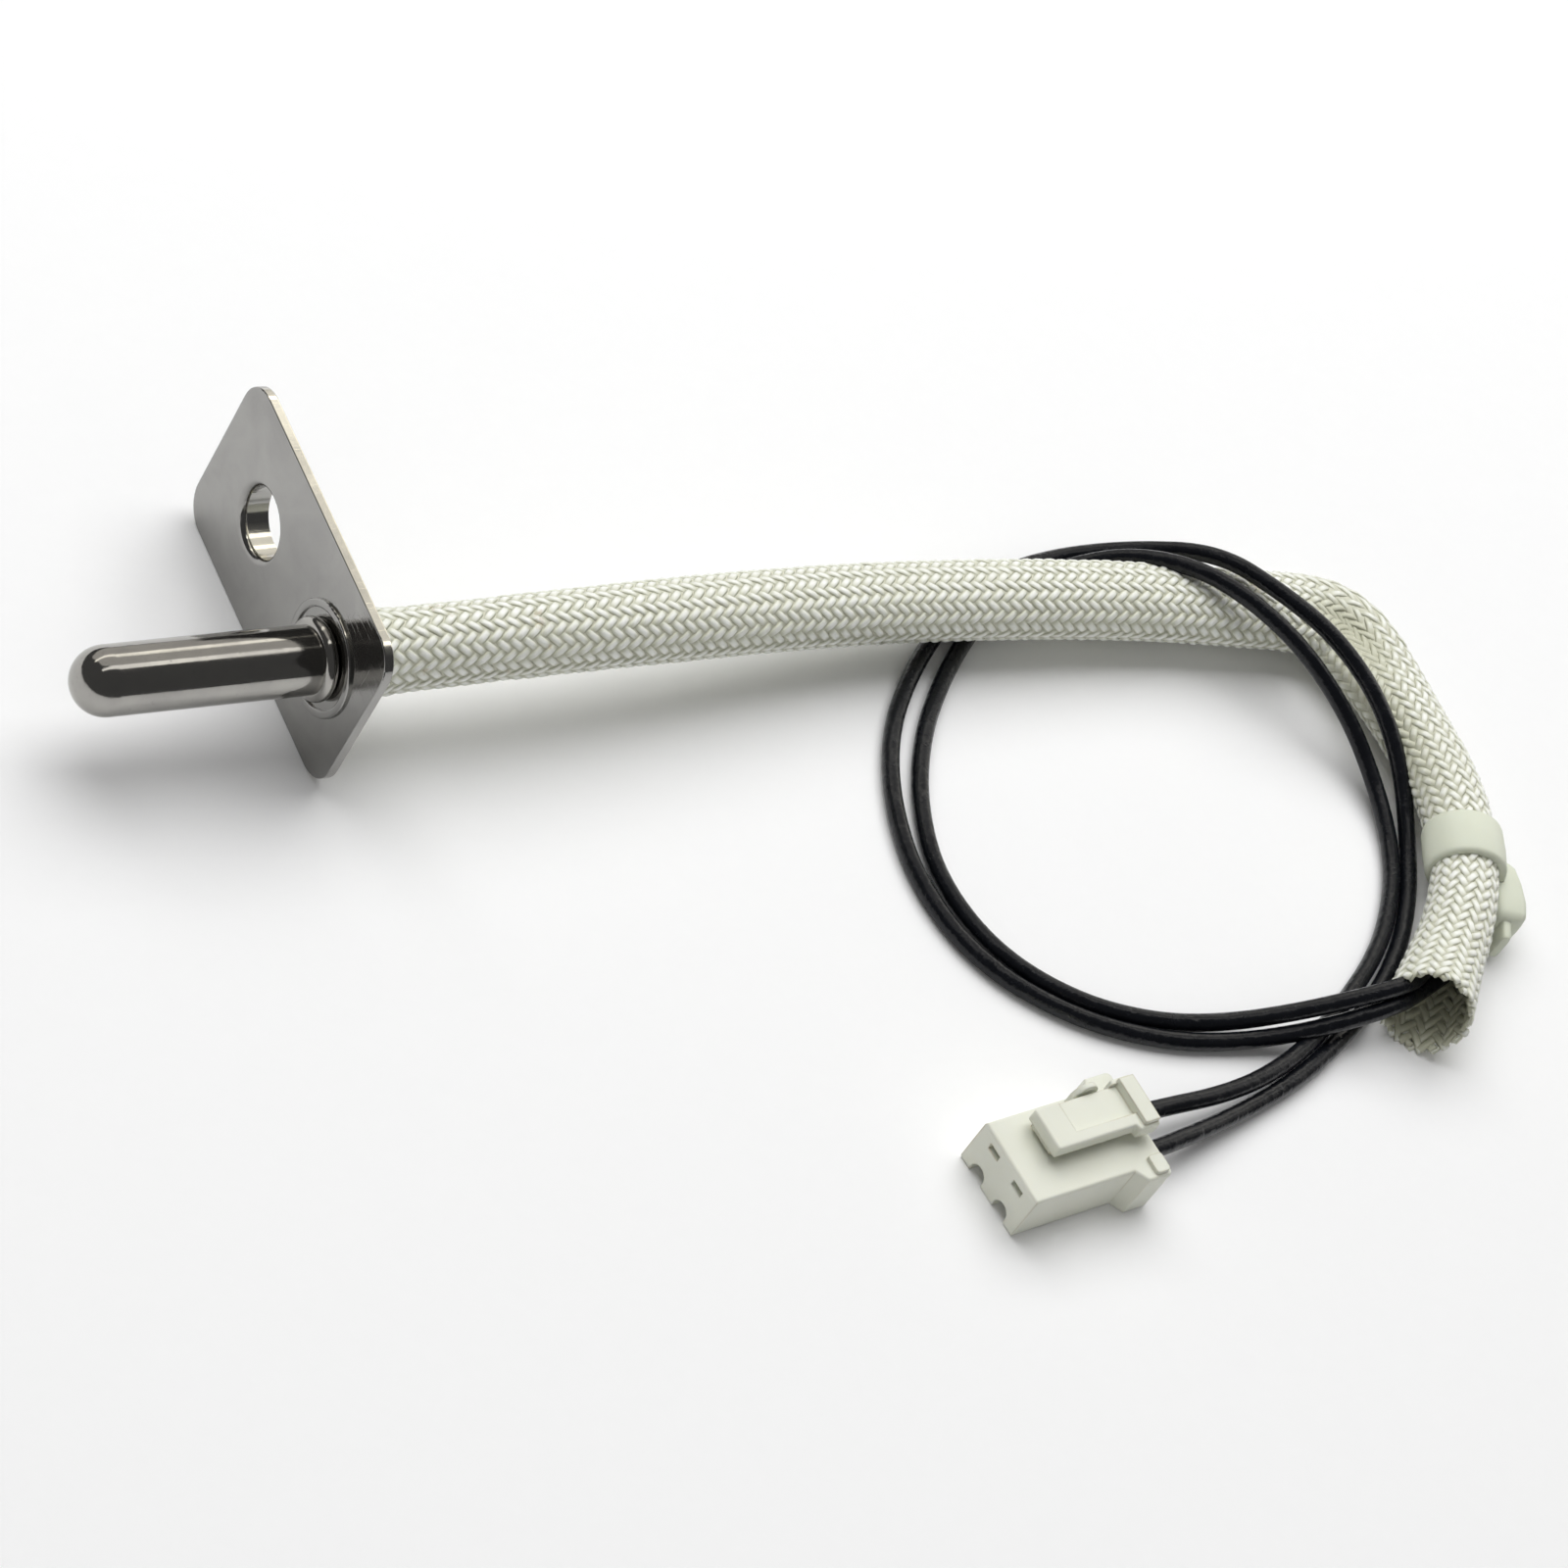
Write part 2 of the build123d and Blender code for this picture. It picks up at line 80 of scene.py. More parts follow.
def make_camera():
    """The viewing angle: from the tip's side, above, and rolled so that the lead runs across."""
    azimuth, elevation, roll = math.radians(-52.25), math.radians(44.51), math.radians(34.96)
    target, distance = Vector((0.03034, -0.00822, -0.006)), 0.31773
    back = Vector((
        math.sin(azimuth) * math.cos(elevation),
        -math.cos(azimuth) * math.cos(elevation),
        math.sin(elevation),
    ))
    data = bpy.data.cameras.new("camera")
    data.lens = 123.96
    data.sensor_width = 36
    data.clip_start = 0.01
    data.clip_end = 10
    camera = link("camera", data)
    aim(camera, target + back * distance, target, roll)
    bpy.context.scene.camera = camera


def area_light(name, place, size, power):
    """A soft lamp over the middle of the set. The polished steel doesn't mirror it."""
    data = bpy.data.lights.new(name, "AREA")
    data.shape = "RECTANGLE"
    data.size, data.size_y = size
    data.energy = power
    lamp = link(name, data)
    aim(lamp, place, (0.03, -0.01, 0))
    lamp.visible_glossy = False


def rectangle(name, wide, tall, height=0.0):
    """A level rectangle about the origin."""
    corners = [(-wide, -tall), (wide, -tall), (wide, tall), (-wide, tall)]
    mesh = bpy.data.meshes.new(name)
    mesh.from_pydata([(x / 2, y / 2, height) for x, y in corners], [], [(0, 1, 2, 3)])
    return link(name, mesh)


def card(name, direction, distance, size, glow, colour):
    """A card beside the set that only polished surfaces see, turned towards the probe."""
    made = rectangle(name, *size)
    material = bpy.data.materials.new(name)
    material.use_nodes = True
    tree = material.node_tree
    tree.nodes.clear()
    light = tree.nodes.new("ShaderNodeEmission")
    light.inputs["Color"].default_value = (*colour, 1)
    light.inputs["Strength"].default_value = glow
    tree.links.new(light.outputs[0], tree.nodes.new("ShaderNodeOutputMaterial").inputs["Surface"])
    made.data.materials.append(material)
    probe_middle = Vector((-0.006, 0, 0))
    back = Vector(direction).normalized()
    along = Vector((0, -direction[2], direction[1])).normalized()
    turn = Matrix((back.cross(along).cross(back).normalized(), back.cross(along), back)).transposed()
    made.matrix_world = Matrix.Translation(probe_middle + back * distance) @ turn.to_4x4()
    for flag in ("visible_camera", "visible_diffuse", "visible_shadow", "visible_transmission"):
        setattr(made, flag, False)


def make_studio():
    """Soft light from above and behind, a pale floor, and cards for the polished steel to mirror."""
    bpy.context.scene.view_settings.view_transform = "Standard"
    world = bpy.data.worlds.new("studio")
    bpy.context.scene.world = world
    world.use_nodes = True
    background = world.node_tree.nodes["Background"]
    background.inputs["Color"].default_value = (1, 1, 1, 1)
    background.inputs["Strength"].default_value = 0.09
    area_light("overhead", (0.10, 0.26, 0.50), (0.8, 0.6), 4.5)
    area_light("front_fill", (-0.18, -0.36, 0.34), (0.9, 0.7), 0.6)
    floor = rectangle("floor", 4, 4, floor_height)
    floor.data.materials.append(floor_paper())
    card("low_bar", (0.56, 0.60, 0.57), 0.6, (0.11, 2.2), 2.0, (1.0, 0.97, 0.88))
    card("high_bar", (0.56, 0.06, 0.83), 0.6, (0.11, 2.2), 1.7, (1.0, 0.98, 0.93))
    card("window", (0.56, 0.50, 0.55), 0.9, (1.5, 3.0), 0.62, (1.0, 0.97, 0.92))


# ------------------------------------------------------------------ materials
class Shader:
    """A material with one Principled shader, and short ways to add nodes to it."""

    def __init__(self, name, **values):
        self.material = bpy.data.materials.new(name)
        self.material.use_nodes = True
        self.tree = self.material.node_tree
        self.surface = self.tree.nodes["Principled BSDF"]
        for key, value in values.items():
            self.surface.inputs[key.title().replace("Ior", "IOR")].default_value = value
        self.place = self.tree.nodes.new("ShaderNodeTexCoord").outputs["Object"]

    def node(self, kind, links=(), **settings):
        made = self.tree.nodes.new("ShaderNode" + kind)
        for key, value in settings.items():
            setattr(made, key, value)
        for key, value in dict(links).items():
            if isinstance(value, bpy.types.NodeSocket):
                self.tree.links.new(value, made.inputs[key])
            else:
                made.inputs[key].default_value = value
        return made

    def noise(self, scale, detail=3.0, roughness=0.55, at=None, distortion=0.0):
        links = {"Vector": at or self.place, "Scale": scale, "Detail": detail}
        links.update({"Roughness": roughness, "Distortion": distortion})
        return self.node("TexNoise", links).outputs["Fac"]

    def stretched(self, *scale):
        """The place, scaled by a different amount along each axis."""
        return self.node("Mapping", {"Vector": self.place, "Scale": scale}).outputs["Vector"]

    def ramp(self, value, low, high, out_low=0.0, out_high=1.0):
        links = {"Value": value, "From Min": low, "From Max": high}
        links.update({"To Min": out_low, "To Max": out_high})
        return self.node("MapRange", links).outputs["Result"]

    def maths(self, operation, first, second=0.0):
        return self.node("Math", {0: first, 1: second}, operation=operation).outputs[0]

    def mix(self, share, first, second):
        made = self.node("Mix", {"Factor": share}, data_type="RGBA")
        for socket, value in ((made.inputs[6], first), (made.inputs[7], second)):
            if isinstance(value, bpy.types.NodeSocket):
                self.tree.links.new(value, socket)
            else:
                socket.default_value = (*value, 1)
        return made.outputs[2]

    def bump(self, height, distance, strength=1.0, under=None):
        links = {"Height": height, "Distance": distance, "Strength": strength}
        if under is not None:
            links["Normal"] = under
        return self.node("Bump", links).outputs["Normal"]

    def drive(self, **sockets):
        for key, value in sockets.items():
            self.tree.links.new(value, self.surface.inputs[key.replace("_", " ").title()])
        return self.material


def floor_paper():
    s = Shader("floor_paper", roughness=0.9)
    grain = s.noise(900, 4)
    return s.drive(base_color=s.mix(grain, (0.96, 0.96, 0.96), (0.985, 0.985, 0.985)))


def tube_steel():
    """Drawn tube, polished along its length, with a few handling marks."""
    s = Shader("tube_steel", metallic=1.0)
    draw_lines = s.noise(1.0, 4, at=s.stretched(90, 5200, 5200))
    smudges = s.noise(420, 5, 0.6)
    specks = s.ramp(s.noise(3800, 2), 0.66, 0.76)
    colour = s.mix(s.ramp(smudges, 0.35, 0.7), (0.40, 0.39, 0.365), (0.345, 0.335, 0.32))
    colour = s.mix(s.maths("MULTIPLY", specks, 0.35), colour, (0.18, 0.175, 0.165))
    rough = s.maths("ADD", s.ramp(smudges, 0.3, 0.75, 0.07, 0.16), s.maths("MULTIPLY", specks, 0.15))
    normal = s.bump(draw_lines, 0.00001, 0.35)
    normal = s.bump(smudges, 0.00004, 0.3, normal)
    return s.drive(base_color=colour, roughness=rough, normal=normal)


def plate_steel():
    """Pressed sheet, polished, with faint cloudy marks, fine scratches and a painted highlight on its
    up- and down-facing edge faces.
    """
    s = Shader("plate_steel", metallic=1.0)
    clouds = s.noise(260, 5, 0.6, distortion=0.6)
    scratch_a = s.ramp(s.noise(1.0, 3, at=s.stretched(1, 300, 9000)), 0.60, 0.68)
    scratch_b = s.ramp(s.noise(1.0, 3, at=s.stretched(1, 7000, 500)), 0.62, 0.70)
    scratches = s.maths("MAXIMUM", scratch_a, scratch_b)
    colour = s.mix(s.ramp(clouds, 0.3, 0.7), (0.37, 0.365, 0.35), (0.31, 0.305, 0.295))
    # Painted highlight: faces that point up or down, the plate's long edges, are lightened to a pale
    # cream.
    facing = s.node("SeparateXYZ", {0: s.node("NewGeometry").outputs["Normal"]}).outputs["Z"]
    level = s.ramp(s.maths("ABSOLUTE", facing), 0.80, 0.95)
    painted_edge_highlight = s.maths("MULTIPLY", level, s.ramp(clouds, 0.2, 0.6, 0.7, 1.0))
    colour = s.mix(painted_edge_highlight, colour, (0.98, 0.95, 0.84))
    rough = s.maths("ADD", s.ramp(clouds, 0.3, 0.75, 0.09, 0.2), s.maths("MULTIPLY", scratches, 0.06))
    normal = s.bump(clouds, 0.00006, 0.35)
    normal = s.bump(scratches, 0.000006, 0.4, normal)
    return s.drive(base_color=colour, roughness=rough, normal=normal)


def glass_yarn():
    """Bright glass-fibre yarn: fine filaments along it, painted shade where it dips and along its edges,
    a painted highlight on top of each float, and a few scorched specks.

    The attribute yarn_place holds the distance along a yarn, the share across it and its rise, lowered
    by painted shade in the fold's patch and on the far leg's inner side.
    """
    s = Shader("glass_yarn", roughness=0.42, ior=1.5)
    s.surface.inputs["Specular IOR Level"].default_value = 0.6
    s.surface.inputs["Coat Weight"].default_value = 0.6
    s.surface.inputs["Coat Roughness"].default_value = 0.22
    yarn = s.node("Attribute", attribute_name="yarn_place").outputs["Vector"]
    parts = s.node("SeparateXYZ", {"Vector": yarn})
    strands = s.node("Mapping", {"Vector": yarn, "Scale": (900, 16, 0)}).outputs["Vector"]
    filaments = s.noise(1.0, 3, 0.6, at=strands)
    tone = s.noise(160, 4, 0.6)
    fine = s.noise(2600, 3)
    colour = s.mix(s.ramp(tone, 0.3, 0.7), (0.72, 0.73, 0.60), (0.62, 0.63, 0.50))
    colour = s.mix(s.ramp(filaments, 0.55, 0.85), colour, (0.52, 0.53, 0.42))
    width_share = s.maths("ABSOLUTE", parts.outputs["Y"])
    # Painted highlight: the top of each float, where it rises over others, is lightened to near white.
    painted_crest_highlight = s.maths("MULTIPLY", s.ramp(parts.outputs["Z"], 0.1, 0.9), s.ramp(width_share, 0.95, 0.35))
    painted_crest_highlight = s.maths("MULTIPLY", painted_crest_highlight, s.ramp(tone, 0.25, 0.6, 0.55, 1.0))
    colour = s.mix(painted_crest_highlight, colour, (0.97, 0.98, 0.93))
    # Painted shade: yarns darken where they sink under others, and where the fold's patch and the inner
    # side lower their rise.
    painted_dip_shade = s.maths("MULTIPLY", s.ramp(parts.outputs["Z"], 0.55, -0.75), 0.75)
    colour = s.mix(painted_dip_shade, colour, (0.47, 0.47, 0.34))
    # Painted shade: each yarn darkens towards its two edges, in the gaps between yarns.
    painted_yarn_edge_shade = s.ramp(width_share, 0.6, 1.0)
    colour = s.mix(s.maths("MULTIPLY", painted_yarn_edge_shade, 0.55), colour, (0.50, 0.49, 0.36))
    stained = s.ramp(s.noise(240, 4, 0.7), 0.655, 0.72)
    stained = s.maths("MULTIPLY", stained, s.ramp(fine, 0.42, 0.6))
    colour = s.mix(s.maths("MULTIPLY", stained, 0.7), colour, (0.45, 0.33, 0.16))
    normal = s.bump(filaments, 0.00002, 0.5)
    rough = s.ramp(filaments, 0.2, 0.8, 0.32, 0.55)
    return s.drive(base_color=colour, roughness=rough, normal=normal)


def glass_web():
    """The braid's shaded depth, seen between yarns and in the open mouth."""
    s = Shader("glass_web", roughness=0.5)
    grain = s.noise(3000, 4)
    colour = s.mix(grain, (0.56, 0.56, 0.44), (0.70, 0.70, 0.58))
    return s.drive(base_color=colour, normal=s.bump(grain, 0.00005, 0.6))


def wire_rubber():
    """Black insulation with a satin skin that is a little uneven."""
    s = Shader("wire_rubber", roughness=0.3)
    s.surface.inputs["Specular IOR Level"].default_value = 0.3
    s.surface.inputs["Coat Weight"].default_value = 0.04
    s.surface.inputs["Coat Roughness"].default_value = 0.14
    uneven = s.noise(700, 4, 0.6)
    fine = s.noise(5200, 3)
    dust = s.ramp(s.noise(2400, 5, 0.7), 0.62, 0.72)
    colour = s.mix(uneven, (0.003, 0.0035, 0.005), (0.007, 0.008, 0.011))
    colour = s.mix(s.maths("MULTIPLY", dust, 0.25), colour, (0.07, 0.08, 0.09))
    rough = s.ramp(uneven, 0.3, 0.7, 0.16, 0.3)
    normal = s.bump(uneven, 0.00022, 0.7)
    normal = s.bump(fine, 0.00002, 0.4, normal)
    return s.drive(base_color=colour, roughness=rough, normal=normal)


def moulded_plastic(name, light, dark, edge, edge_share):
    """Moulded nylon: slightly uneven tone, a faint mould texture, and dirt and painted shade along its
    edges and in its corners.
    """
    s = Shader(name, roughness=0.5, ior=1.5)
    s.surface.inputs["Subsurface Weight"].default_value = 0.15
    s.surface.inputs["Subsurface Radius"].default_value = (0.0008, 0.0007, 0.0005)
    clouds = s.noise(320, 4)
    fine = s.noise(9000, 3)
    round_normal = s.node("Bevel", {"Radius": 0.00018}, samples=6).outputs["Normal"]
    true_normal = s.node("NewGeometry").outputs["Normal"]
    normals = {0: round_normal, 1: true_normal}
    sameness = s.node("VectorMath", normals, operation="DOT_PRODUCT").outputs["Value"]
    # Dirt and painted shade: a darker, browner tone wherever the rounded normal turns away from the true
    # one, on edges and in corners.
    edges = s.maths("MULTIPLY", s.ramp(sameness, 0.995, 0.85), s.ramp(clouds, 0.35, 0.65))
    colour = s.mix(clouds, light, dark)
    colour = s.mix(s.maths("MULTIPLY", edges, edge_share), colour, edge)
    rough = s.ramp(clouds, 0.3, 0.7, 0.42, 0.58)
    normal = s.bump(fine, 0.00001, 0.35, round_normal)
    return s.drive(base_color=colour, roughness=rough, normal=normal)


def plain_stock(name, light, dark, metallic, rough):
    """Inner pieces: an even material with a little tone and grain."""
    s = Shader(name, metallic=metallic)
    grain = s.noise(2500, 4)
    roughness = s.ramp(grain, 0.3, 0.7, rough * 0.8, rough * 1.2)
    colour = s.mix(grain, light, dark)
    return s.drive(base_color=colour, roughness=roughness, normal=s.bump(grain, 0.00001, 0.4))


# ------------------------------------------------------------------ routes of the lead
# The sleeve's centreline, from behind the plate, down to the floor, round its fold and to its mouth.
sleeve_route = [
    (0.0008, 0, 0),
    (0.0130, 0.0001, 0),
    (0.0260, 0.0007, -0.0008),
    (0.0380, 0.0013, -0.0020),
    (0.0500, 0.0009, -0.0026),
    (0.0605, -0.0001, -0.0030),
    (0.0674, -0.0012, -0.0033),
    (0.0727, -0.0020, -0.0035),
    (0.0750, -0.0030, -0.0036),
    (0.0756, -0.0054, -0.0036),
    (0.0758, -0.0104, -0.0036),
    (0.0756, -0.0159, -0.0032),
    (0.0739, -0.0213, -0.00275),
    (0.0712, -0.0254, -0.0030),
    (0.0680, -0.0286, -0.0033),
    (0.0647, -0.0317, -0.0035),
]
# Inside the sleeve the wires lie one above the other, then side by side from before the fold to the
# mouth. From there on they are free, down to the plug.
side_by_side_a = [
    (0.0674, -0.0006, -0.0035),
    (0.0730, -0.0014, -0.0040),
    (0.0755, -0.0026, -0.0041),
    (0.0762, -0.0053, -0.0041),
    (0.0764, -0.0104, -0.0038),
    (0.0762, -0.0160, -0.0032),
    (0.0744, -0.0216, -0.00275),
    (0.0716, -0.0258, -0.0030),
]
side_by_side_b = [
    (0.0674, -0.0018, -0.0037),
    (0.0724, -0.0026, -0.0040),
    (0.0745, -0.0034, -0.0041),
    (0.0750, -0.0055, -0.0041),
    (0.0752, -0.0104, -0.0038),
    (0.0750, -0.0158, -0.0032),
    (0.0734, -0.0210, -0.00275),
    (0.0708, -0.0250, -0.0030),
]
free_route_a = [
    (0.0684, -0.02905, -0.0032),
    (0.0657, -0.0299, -0.0037),
    (0.0635, -0.0307, -0.0034),
    (0.0607, -0.0311, -0.0035),
    (0.0562, -0.0309, -0.0047),
    (0.0514, -0.0304, -0.0054),
    (0.0466, -0.0295, -0.0054),
    (0.0412, -0.0269, -0.0054),
    (0.0369, -0.0224, -0.0054),
    (0.0355, -0.0167, -0.0054),
    (0.0365, -0.0109, -0.0054),
    (0.0390, -0.0057, -0.0054),
    (0.0430, -0.0014, -0.0054),
    (0.0475, 0.0021, -0.0054),
    (0.0525, 0.0047, -0.0054),
    (0.0576, 0.0054, -0.0051),
    (0.0621, 0.0042, -0.0034),
    (0.0657, 0.0015, -0.0008),
    (0.0683, -0.0022, -0.0003),
    (0.0709, -0.0060, -0.0005),
    (0.0727, -0.0103, -0.0017),
    (0.0731, -0.0144, -0.0034),
    (0.0723, -0.0185, -0.0052),
    (0.0701, -0.0226, -0.0054),
    (0.0667, -0.0266, -0.0054),
    (0.0617, -0.0302, -0.0054),
    (0.0558, -0.0332, -0.0054),
    (0.0496, -0.0351, -0.0053),
]
free_route_b = [
    (0.0676, -0.02815, -0.0032),
    (0.06575, -0.02915, -0.00275),
    (0.0640, -0.0300, -0.0025),
    (0.0609, -0.0302, -0.0027),
    (0.0563, -0.0299, -0.0039),
    (0.0515, -0.0292, -0.0051),
    (0.0468, -0.0282, -0.0054),
    (0.0420, -0.0259, -0.0054),
    (0.0383, -0.0219, -0.0054),
    (0.0370, -0.0165, -0.0054),
    (0.0383, -0.0112, -0.0054),
    (0.0411, -0.0063, -0.0054),
    (0.0449, -0.0022, -0.0054),
    (0.0490, 0.0012, -0.0054),
    (0.0534, 0.0037, -0.0054),
    (0.0574, 0.0043, -0.0047),
    (0.0604, 0.0031, -0.0024),
    (0.0629, 0.0003, -0.0003),
    (0.0656, -0.0026, -0.0002),
    (0.0684, -0.0062, -0.0010),
    (0.0708, -0.0103, -0.0029),
    (0.0717, -0.0145, -0.0047),
    (0.0710, -0.0186, -0.0054),
    (0.0688, -0.0224, -0.0054),
    (0.0655, -0.0260, -0.0054),
    (0.0608, -0.0292, -0.0054),
    (0.0552, -0.0323, -0.0050),
    (0.0493, -0.0341, -0.0046),
]
# The last straight of each wire, into the back of the plug.
plug_entry_a = [(0.041866, -0.037006, -0.0041), (0.037693, -0.037481, -0.0041)]
plug_entry_b = [(0.041583, -0.034522, -0.0041), (0.037410, -0.034997, -0.0041)]


def smooth_line(route):
    """Points along the NURBS curve that has the route as its control points."""
    data = bpy.data.curves.new("line", "CURVE")
    data.dimensions = "3D"
    spline = data.splines.new("NURBS")
    spline.points.add(len(route) - 1)
    for knot, place in zip(spline.points, route):
        knot.co = (*place, 1)
    spline.order_u = 3
    spline.use_endpoint_u = True
    spline.resolution_u = 24
    holder = link("line", data)
    mesh = bpy.data.meshes.new_from_object(holder)
    points = np.array([vertex.co for vertex in mesh.vertices])
    bpy.data.meshes.remove(mesh)
    bpy.data.objects.remove(holder)
    bpy.data.curves.remove(data)
    return points


class Line:
    """A smooth line, looked up by the distance along it, with a level side and an upright."""

    def __init__(self, route):
        self.points = smooth_line(route)
        steps = np.linalg.norm(np.diff(self.points, axis=0), axis=1)
        self.along = np.concatenate([[0], np.cumsum(steps)])
        self.length = self.along[-1]
        tangents = np.gradient(self.points, self.along, axis=0)
        self.tangents = tangents / np.linalg.norm(tangents, axis=1)[:, None]

    def at(self, distance, values=None):
        values = self.points if values is None else values
        return np.stack([np.interp(distance, self.along, values[:, k]) for k in range(3)], axis=-1)

    def frame(self, distance):
        """Centre, side and upright at each distance. The side points to the line's left."""
        tangent = self.at(distance, self.tangents)
        side = np.cross((0, 0, 1), tangent)
        side /= np.linalg.norm(side, axis=-1, keepdims=True)
        upright = np.cross(tangent, side)
        upright /= np.linalg.norm(upright, axis=-1, keepdims=True)
        return self.at(distance), side, upright


def piece(name, vertices, faces, smooth, material):
    """A mesh object that rides on the sensor. Smooth says for each face whether it is shaded smooth."""
    mesh = bpy.data.meshes.new(name)
    mesh.from_pydata(vertices.tolist(), [], faces)
    mesh.polygons.foreach_set("use_smooth", smooth)
    mesh.materials.append(material)
    made = link(name, mesh)
    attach(made, "sensor")
    return made


def turns(count):
    """Even angles once round."""
    return np.linspace(0, FULL_TURN, count, endpoint=False)


def ring_faces(rings, count, offset=0):
    """Quads that join consecutive closed rings of count points."""
    ring, spot = np.meshgrid(np.arange(rings - 1), np.arange(count), indexing="ij")
    here = offset + ring * count + spot
    beside = offset + ring * count + (spot + 1) % count
    return np.stack([here, beside, beside + count, here + count], axis=-1).reshape(-1, 4)


def end_caps(rings, count, offset=0):
    """The two faces that close a stack of rings."""
    last = offset + (rings - 1) * count
    return [[offset + spot for spot in range(count)][::-1], [last + spot for spot in range(count)]]


# ------------------------------------------------------------------ wires
WIRE_SIDES = 20
WIRE_STEP = 0.35 * MM


def make_wire(name, route):
    """One wire, as an even tube along its own smooth line."""
    line = Line(route)
    distance = np.linspace(0, line.length, int(line.length / WIRE_STEP))
    centre, side, upright = line.frame(distance)
    turn = turns(WIRE_SIDES)[None, :, None]
    ring = np.cos(turn) * side[:, None] + np.sin(turn) * upright[:, None]
    skin = centre[:, None] + WIRE_DIAMETER / 2 * ring
    walls = ring_faces(len(distance), WIRE_SIDES).tolist()
    faces = walls + end_caps(len(distance), WIRE_SIDES)
    smooth = [True] * len(walls) + [False, False]
    wire = piece(name, skin.reshape(-1, 3), faces, smooth, wire_material)
    return wire


# ------------------------------------------------------------------ braided sleeve
YARNS = 22                   # in each direction
STITCH_PITCH = 0.87 * MM     # along the sleeve, between neighbouring yarns of one direction
YARN_HALF_WIDTH = 0.27 * MM
YARN_HALF_THICKNESS = 0.13 * MM
YARN_SWING = 0.11 * MM       # how far a yarn rises and dips as it passes over and under two others
YARN_BULGE = 1.1             # how much a yarn stands out from its even section
YARN_SIDES = 6
RINGS_PER_CROSSING = 1.5

# How uneven the braid is: shares of a yarn's spacing, width and thickness, and a height.
DRIFT_NOISE, DRIFT_KNOTS = 0.05, 40
WIDTH_NOISE, THICKNESS_NOISE, SIZE_KNOTS = 0.08, 0.15, 50
HEIGHT_NOISE, HEIGHT_KNOTS = 0.02 * MM, 60
CUT_SPREAD = (-0.3, 0.15)    # how many crossings past the last one a yarn is cut
FRAY_LIFT = (-0.05, 0.1)     # how far a cut end sinks or rises, in mm
FRAY_CROSSINGS = 2.2         # how many crossings before the end a yarn starts to work loose
FRAY_MOST = 1.3
GRAIN_SHIFT = 0.37           # sets each yarn's filaments apart from its neighbours'

WEB_OUTER = 0.09 * MM        # the web's two sides, from the sleeve's mid-surface
WEB_INNER = -0.03 * MM
WEB_START = 0.1 * MM         # where the web starts, and how far it stops short of the mouth
WEB_SHORT = 0.7 * MM
WEB_SIDES = 64
WEB_RINGS = 260

MOUTH_SLANT = 0.85 * MM      # how far the cut end leans out on the side of MOUTH_SIDE
MOUTH_SIDE = math.radians(262)
MOUTH_REACH = 7 * MM         # the length over which the yarns lean towards the slanted cut

# The fold's flattened patch, on top of the sleeve, and the inner side of the leg beyond it, where
# painted shade darkens the yarns and takes out their painted highlights.
FOLD_PLACE = 75.3 * MM
FOLD_REACH = 3.2 * MM
FOLD_TURN = math.radians(112)
FOLD_SPREAD = math.radians(36)
FOLD_DEPTH = 0.45 * MM
INNER_TURN = math.radians(155)
INNER_PLACE = 83 * MM
INNER_REACH = 7 * MM
FOLD_LEVEL = 0.8             # how far the patch takes the swing out of its yarns
FOLD_SHADE = 1.9             # how much darker the yarns are in the patch, and along the inner side
INNER_SHADE = 0.8

SECTION_EVENING = 0.55       # spreads the points of a flat section evenly round it
SMOOTHING = 15               # width of the window that rounds the table of sections, in samples
SECTION_SAMPLES = 400

# Distance along the sleeve, its half width, its half height and how far its middle moves up, in mm.
sleeve_sections = [
    (0, 2.64, 2.64, 0.0),
    (1.2, 2.62, 2.62, 0.0),
    (3.2, 2.22, 2.22, 0.0),
    (10, 2.20, 2.18, 0.0),
    (22, 2.35, 2.10, 0.0),
    (45, 2.45, 1.95, 0.0),
    (60, 2.50, 1.85, 0.0),
    (68, 2.62, 1.65, 0.0),
    (72, 2.95, 1.40, -0.1),
    (75, 3.35, 1.25, -0.2),
    (77.5, 3.00, 1.40, -0.1),
    (81, 2.50, 1.75, 0.0),
    (87, 2.22, 1.85, 0.0),
    (90.5, 2.10, 1.80, 0.0),
    (92.5, 1.90, 1.70, 0.0),
    (96, 1.98, 1.85, 0.0),
    (100.0, 2.10, 2.00, 0.0),
    (103.0, 2.32, 2.25, 0.1),
    (106.0, 2.58, 2.60, 0.2),
]


